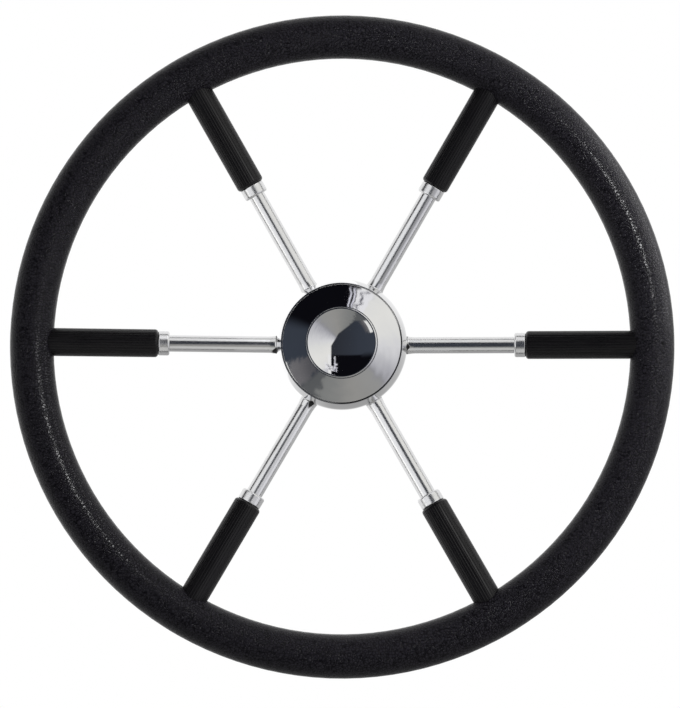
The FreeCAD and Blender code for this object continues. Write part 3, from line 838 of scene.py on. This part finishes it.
# %% Dress the CAD nodes that stay
node_finishes = {
    "hub_body": mirror_steel,
    "rim_grip": grip_finish,
    "rim_hoop": hoop_steel,
    "cap_o_ring": ring_rubber,
}
replaced_finishes = {
    "spoke_sleeve": sleeve_finish,
    "spoke": bar_steel,
    "collar": collar_steel,
    "hub_cap": mirror_steel,
}
for name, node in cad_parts.items():
    finish = node_finishes.get(name)
    if finish is None:
        finish = next(value for start, value in replaced_finishes.items() if name.startswith(start))
    node.data.materials.clear()
    node.data.materials.append(finish)
print("CAD nodes shown:", sorted(node_finishes))

# %% [markdown]
# ## The studio
#
# Polished steel has hardly any colour of its own. What it shows is the room, so the room is half of
# the material here. A photograph of a room could be wrapped round the scene, but a few soft shapes
# in the world's node tree do the same and can be read and changed one at a time. Short helpers add
# sums, soft steps and mixes to the tree that is being built.

# %% Start the world
world = bpy.data.worlds.new("studio")
scene.world = world
world.use_nodes = True
tree = world.node_tree
tree.nodes.clear()
out = tree.nodes.new("ShaderNodeOutputWorld")


def calculate(operation, *values):
    """Sum in the tree that is being built."""
    return arithmetic(tree, operation, *values)


def rise(value, low, high):
    """0 below low, 1 above high, smooth between."""
    return soft_step(tree, value, low, high)


def strip(value, low, high, soft):
    """1 from low to high, fading to 0 outside over a soft width."""
    up = rise(value, low - soft / 2, low + soft / 2)
    falling = rise(value, high - soft / 2, high + soft / 2)
    return calculate("MULTIPLY", up, calculate("SUBTRACT", 1.0, falling))


def both(first, second):
    """1 where both are 1."""
    return calculate("MULTIPLY", first, second)


def mix(factor, first, second):
    """Mix node of two colours, each a tuple or a socket."""
    node = add_node(tree, "ShaderNodeMix", data_type="RGBA")
    for number, value in ((0, factor), (6, first), (7, second)):
        socket = node.inputs[number]
        if isinstance(value, (int, float)):
            socket.default_value = value
        elif isinstance(value, tuple):
            socket.default_value = (*value, 1)
        else:
            tree.links.new(value, socket)
    return node.outputs[2]


print("world:", world.name)

# %% [markdown]
# The tree works with two angles of a direction: how far it is off the wheel's axis, and where it
# points on a clock face seen from the front, from the right and turning clockwise. With the two it
# also knows how many degrees a direction lies to the right and towards the floor.

# %% Work out the angles of a direction
direction = add_node(tree, "ShaderNodeTexCoord").outputs["Generated"]
split = add_node(tree, "ShaderNodeSeparateXYZ")
tree.links.new(direction, split.inputs[0])
x, y, z = split.outputs
down = calculate("MULTIPLY", z, -1.0)
turn = calculate("DIVIDE", calculate("ARCTAN2", down, x), 2 * math.pi)
clock = calculate("FRACT", calculate("ADD", turn, 1.0))
off_axis = calculate("ARCCOSINE", calculate("MULTIPLY", y, -1.0))
off_axis = calculate("MULTIPLY", off_axis, 180 / math.pi)
spread = calculate("ADD", calculate("MULTIPLY", x, x), calculate("MULTIPLY", z, z))
spread = calculate("SQRT", spread)
to_right = calculate("MULTIPLY", off_axis, calculate("DIVIDE", x, spread))
to_floor = calculate("MULTIPLY", off_axis, calculate("DIVIDE", down, spread))
print("world nodes so far:", len(tree.nodes))

# %% [markdown]
# The lit part of the room lies to the right and below: a bright wall at the upper right, and grey
# card towards the floor. It is a ramp once round the clock, where 0 is the right and 90 the floor.
# A buffed cone is never quite true, so the borders that it mirrors waver. A noise over the two
# angles gives that ripple, and the ramp is read with it.

# %% Paint the lit part of the room
RIPPLES_OFF_AXIS, RIPPLES_ROUND_CLOCK, CLOCK_RIPPLE = 0.9, 20.0, 26 / 360


def at(degrees):
    """Place on a ramp that goes once round the clock face."""
    return (degrees % 360) / 360


ripple_place = add_node(tree, "ShaderNodeCombineXYZ")
tree.links.new(calculate("MULTIPLY", off_axis, RIPPLES_OFF_AXIS), ripple_place.inputs["X"])
tree.links.new(calculate("MULTIPLY", clock, RIPPLES_ROUND_CLOCK), ripple_place.inputs["Y"])
ripple = calculate("SUBTRACT", noise(tree, ripple_place.outputs[0], 1.0, 1.0), 0.5)
wavy_clock = calculate("ADD", clock, calculate("MULTIPLY", ripple, CLOCK_RIPPLE))
lit_room = ramp(tree, wavy_clock, [
    (0.0, (0.82, 0.82, 0.84)),
    (at(15), (0.67, 0.67, 0.70)),
    (at(32), (0.49, 0.49, 0.53)),
    (at(41), (0.34, 0.34, 0.36)),
    (at(48), (0.36, 0.36, 0.355)),
    (at(75), (0.355, 0.35, 0.335)),
    (at(105), (0.27, 0.275, 0.27)),
    (at(116), (0.25, 0.255, 0.25)),
    (at(119), (0.125, 0.13, 0.135)),
    (at(140), (0.115, 0.12, 0.125)),
    (at(296), (0.70, 0.70, 0.74)),
    (at(301), (0.92, 0.92, 0.90)),
    (at(318), (0.97, 0.965, 0.93)),
    (at(345), (0.90, 0.90, 0.88)),
    (1.0, (0.82, 0.82, 0.84)),
])
print("world nodes with the lit part:", len(tree.nodes))

# %% [markdown]
# The dark part is where the room is unlit behind the camera, and up to the left. Its border with
# the lit part is made of four straight edges, and the greatest of four soft steps joins them. Low
# down it is slate and high up black. The edge between the two is crisp near the wheel's axis, where
# the dish mirrors it, and soft further out, where the cone does.
#
# At the lower left a grey haze veils the slate, as far out as the cone looks. Just beyond, where
# only the edge of the dish looks, lies a pale patch.

# %% Paint the dark part
BLACK_ROOM, PALE_PATCH = (0.004, 0.004, 0.006), (0.95, 0.95, 0.93)
NEAR_HAZE, FAR_HAZE = (0.10, 0.10, 0.11), (0.175, 0.17, 0.18)
SLATE_EDGE, CRISP_EDGE, EXTRA_SOFTNESS = -28.2, 2.2, 6.0  # degrees towards the floor

edges = (
    rise(to_right, 19.0, 22.0),
    rise(calculate("ADD", to_floor, calculate("MULTIPLY", to_right, 1.7)), 23.5, 27.5),
    rise(calculate("ADD", to_floor, calculate("MULTIPLY", to_right, 0.77)), 18.0, 22.0),
    rise(to_floor, 39.0, 44.0),
)
lit = edges[0]
for edge in edges[1:]:
    lit = calculate("MAXIMUM", lit, edge)

slate = ramp(tree, calculate("DIVIDE", calculate("ADD", to_right, 90.0), 180.0), [
    (0.0, (0.050, 0.060, 0.080)),
    (0.3, (0.042, 0.050, 0.068)),
    (0.6, (0.030, 0.033, 0.042)),
])
hazy = both(strip(wavy_clock, at(134), at(162), 5 / 360), rise(off_axis, 50.0, 56.0))
slate = mix(hazy, slate, mix(rise(off_axis, 55.5, 60.5), NEAR_HAZE, FAR_HAZE))
softness = calculate("MULTIPLY", rise(off_axis, 48.0, 54.0), EXTRA_SOFTNESS)
edge_width = calculate("ADD", CRISP_EDGE, softness)
over_edge = calculate("DIVIDE", calculate("ADD", to_floor, -SLATE_EDGE), edge_width)
unlit = mix(rise(over_edge, -1.0, 1.0), BLACK_ROOM, slate)
patch = both(strip(clock, at(133), at(165), 3 / 360), rise(off_axis, 61.8, 62.8))
unlit = mix(patch, unlit, PALE_PATCH)
front = mix(lit, unlit, lit_room)
print("straight edges of the dark part:", len(edges))

# %% [markdown]
# Windows shine in the dark part, above the wheel. A wide one with a dark frame stands at the right.
# Left of it, a thin upright bar and a short crossbar make the squiggle in the dish. High up, where
# the cone looks, there is a broad pane with a crooked blind across it and two thin lines beside it.
# These are read with the ripple, which bends them as a buffed cone does. Each row of the list is
# one shape and its colour, and later ones cover earlier ones.

# %% Hang the windows
FRAME, BLIND = (0.03, 0.03, 0.05), (0.14, 0.14, 0.17)
WINDOW, PANE = (1.0, 1.0, 1.0), (0.97, 0.97, 1.0)
BARS, LINES = (0.85, 0.85, 0.92), (0.85, 0.85, 0.95)

above_wheel = calculate("SUBTRACT", 1.0, rise(to_floor, -28.0, -26.0))
high_up = both(above_wheel, strip(off_axis, 55.0, 66.0, 1.0))
wavy_right = calculate("ADD", to_right, calculate("MULTIPLY", ripple, 8.0))
very_wavy_right = calculate("ADD", to_right, calculate("MULTIPLY", ripple, 28.0))
upright_bar = both(strip(wavy_right, 11.8, 14.2, 1.2), strip(to_floor, -58.0, -31.0, 3.0))
crossbar = both(strip(to_right, 8.0, 13.0, 2.0), strip(to_floor, -50.0, -46.5, 2.0))
windows = (
    (both(above_wheel, strip(to_right, 19.2, 20.8, 1.0)), FRAME),
    (both(above_wheel, strip(to_right, 20.6, 27.0, 1.6)), WINDOW),
    (calculate("MAXIMUM", upright_bar, crossbar), BARS),
    (both(high_up, strip(wavy_right, 17.0, 33.0, 1.6)), PANE),
    (both(high_up, strip(very_wavy_right, 22.0, 25.6, 1.2)), BLIND),
    (both(high_up, strip(wavy_right, 8.8, 10.8, 1.0)), LINES),
    (both(high_up, strip(wavy_right, 13.6, 15.8, 1.0)), LINES),
)
for shape, colour in windows:
    front = mix(shape, front, colour)
print("shapes in the windows:", len(windows))

# %% [markdown]
# Behind the wheel hangs a white backdrop. Polished sides and rounded edges look past the wheel at
# it, so metal has to see it too. Towards the floor and the right it is in shade, except almost
# straight behind the wheel.
#
# Dull surfaces don't show the room, they only gather its light. For their rays the world is one
# even level, at which a colour comes out as it is written, and for the camera it is plain white.

# %% Hang the backdrop and close the world
WHITE = (1.0, 1.0, 1.0)
BESIDE_WHEEL, BEHIND_WHEEL = (86.0, 98.0), (150.0, 176.0)  # degrees off the axis

shade = ramp(tree, clock, [
    (0.0, 0.70),
    (at(25), 0.54),
    (at(60), 0.42),
    (at(100), 0.44),
    (at(140), 0.80),
    (at(155), 1.0),
    (at(325), 1.0),
    (at(350), 0.78),
    (1.0, 0.70),
])
backdrop = mix(rise(off_axis, *BEHIND_WHEEL), shade, WHITE)
room = mix(rise(off_axis, *BESIDE_WHEEL), front, backdrop)
path = tree.nodes.new("ShaderNodeLightPath")
gathered = mix(path.outputs["Is Diffuse Ray"], room, WHITE)
seen = mix(path.outputs["Is Camera Ray"], gathered, WHITE)
background = tree.nodes.new("ShaderNodeBackground")
tree.links.new(seen, background.inputs["Color"])
tree.links.new(background.outputs[0], out.inputs["Surface"])
world.cycles.sampling_method = "NONE"
print("world nodes:", len(tree.nodes))

# %% [markdown]
# ## Lamps
#
# The world is endlessly far away, so it looks the same from every spot on the wheel. White cards
# that stand close to the wheel look different from each, and the bars, collars and welds need them.
# They are rectangular lamps here, and each one only lights its own receivers. That is done with
# light linking: a lamp takes a collection of receivers. Its energy is set from its area and the
# brightness that its face should show.

# %% Make a lamp with its receivers
def soft_lamp(name, off, clock_degrees, distance, size, brightness, receivers):
    """Rectangular lamp at two angles round the wheel, facing it, that lights only its receivers."""
    lamp_data = bpy.data.lights.new(name, "AREA")
    lamp_data.shape = "RECTANGLE"
    lamp_data.size, lamp_data.size_y = size
    lamp_data.energy = brightness * 4 * size[0] * size[1]
    lamp = bpy.data.objects.new(name, lamp_data)
    scene.collection.objects.link(lamp)
    off, clock_angle = math.radians(off), math.radians(clock_degrees)
    where = Vector((
        math.sin(off) * math.cos(clock_angle),
        -math.cos(off),
        -math.sin(off) * math.sin(clock_angle),
    ))
    lamp.location = where * distance
    lamp.rotation_euler = where.to_track_quat("Z", "Y").to_euler()
    lamp.visible_camera = False
    group = bpy.data.collections.new(name + "_receivers")
    for piece in receivers:
        group.objects.link(piece)
    lamp.light_linking.receiver_collection = group
    return lamp


# %% [markdown]
# Of the cards, two stand at the left, one above, one below and one at the right. One more stands
# behind the wheel at the left and brightens the hub's wall. Three lamps light the black parts. A
# small bright one at the upper right draws the sparkling line along the grip, a dim one close to
# its side lights the rim's right edge, and the third draws thin lines along the sleeves. Each row
# gives the angle off the wheel's axis and the clock angle in degrees, the distance and the size in
# metres, the brightness and the receivers.

# %% Set up the cards and lamps
bright_metal = pieces_by_kind["bars"] + pieces_by_kind["collars"] + pieces_by_kind["welds"]
right_spoke = [piece for piece in bright_metal if piece.name.endswith("_1")]
other_spokes = [piece for piece in bright_metal if piece not in right_spoke]
lamps = [
    soft_lamp("left_card", 38.0, 182.0, 1.0, (1.1, 1.2), 0.75, other_spokes),
    soft_lamp("outer_left_card", 50.0, 195.0, 1.0, (1.0, 1.2), 0.75, right_spoke),
    soft_lamp("top_card", 58.0, 270.0, 1.0, (1.0, 0.8), 0.7, bright_metal),
    soft_lamp("floor_card", 62.0, 90.0, 1.0, (0.9, 0.8), 0.28, bright_metal),
    soft_lamp("right_card", 66.0, 20.0, 1.0, (0.6, 0.6), 0.25, bright_metal),
    soft_lamp("back_card", 128.0, 212.0, 1.0, (2.0, 2.0), 0.19, [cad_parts["hub_body"]]),
    soft_lamp("grip_lamp", 30.0, -30.0, 0.66, (0.08, 0.08), 130.0, [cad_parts["rim_grip"]]),
    soft_lamp("side_lamp", 80.0, -24.0, 0.34, (0.12, 0.24), 4.5, [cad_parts["rim_grip"]]),
    soft_lamp("sleeve_lamp", 40.0, -30.0, 1.2, (0.20, 0.20), 3.0, pieces_by_kind["sleeves"]),
]
print("lamps:", [lamp.name for lamp in lamps])

# %% [markdown]
# ## The floor
#
# The wheel hangs above a plain pale floor. In the picture the floor can't be told from the
# backdrop, so it fades to white for the camera some way off. Near the wheel it stays an ordinary
# dull surface, which takes a soft shadow from a lamp overhead. The polished parts don't look at the
# floor itself, because the room's lower half already is its reflection.

# %% Lay the floor
FLOOR_HEIGHT, FLOOR_RADIUS = -0.50, 6.0
FADE_START, FADE_END = 0.45, 1.3  # metres from the floor's middle

floor_work = bmesh.new()
bmesh.ops.create_circle(floor_work, cap_ends=True, segments=96, radius=FLOOR_RADIUS)
floor_mesh = bpy.data.meshes.new("pale_floor")
floor_work.to_mesh(floor_mesh)
floor_work.free()
floor = bpy.data.objects.new("pale_floor", floor_mesh)
scene.collection.objects.link(floor)
floor.location.z = FLOOR_HEIGHT
floor.visible_glossy = False

floor_finish, shader = new_finish("pale_floor")
tree = floor_finish.node_tree
shader.inputs["Base Color"].default_value = (0.88, 0.88, 0.87, 1)
shader.inputs["Roughness"].default_value = 0.9
distance = add_node(tree, "ShaderNodeVectorMath", operation="LENGTH")
tree.links.new(object_place(tree), distance.inputs[0])
far = rise(distance.outputs["Value"], FADE_START, FADE_END)
path = tree.nodes.new("ShaderNodeLightPath")
white = add_node(tree, "ShaderNodeEmission", Color=(1, 1, 1, 1), Strength=1.0)
join = tree.nodes.new("ShaderNodeMixShader")
tree.links.new(both(far, path.outputs["Is Camera Ray"]), join.inputs["Fac"])
tree.links.new(shader.outputs["BSDF"], join.inputs[1])
tree.links.new(white.outputs[0], join.inputs[2])
surface_out = next(node for node in tree.nodes if node.type == "OUTPUT_MATERIAL")
tree.links.new(join.outputs[0], surface_out.inputs["Surface"])
floor_mesh.materials.append(floor_finish)
floor_lamp = soft_lamp("floor_lamp", 90.0, 270.0, 1.2, (0.5, 0.5), 2.0, [floor])
print("floor at", FLOOR_HEIGHT, "m, lit by", floor_lamp.name)

# %% [markdown]
# ## The view transform
#
# The view transform is set to Standard, so that a written colour comes out as that colour.

# %% Set the view transform
scene.view_settings.view_transform = "Standard"
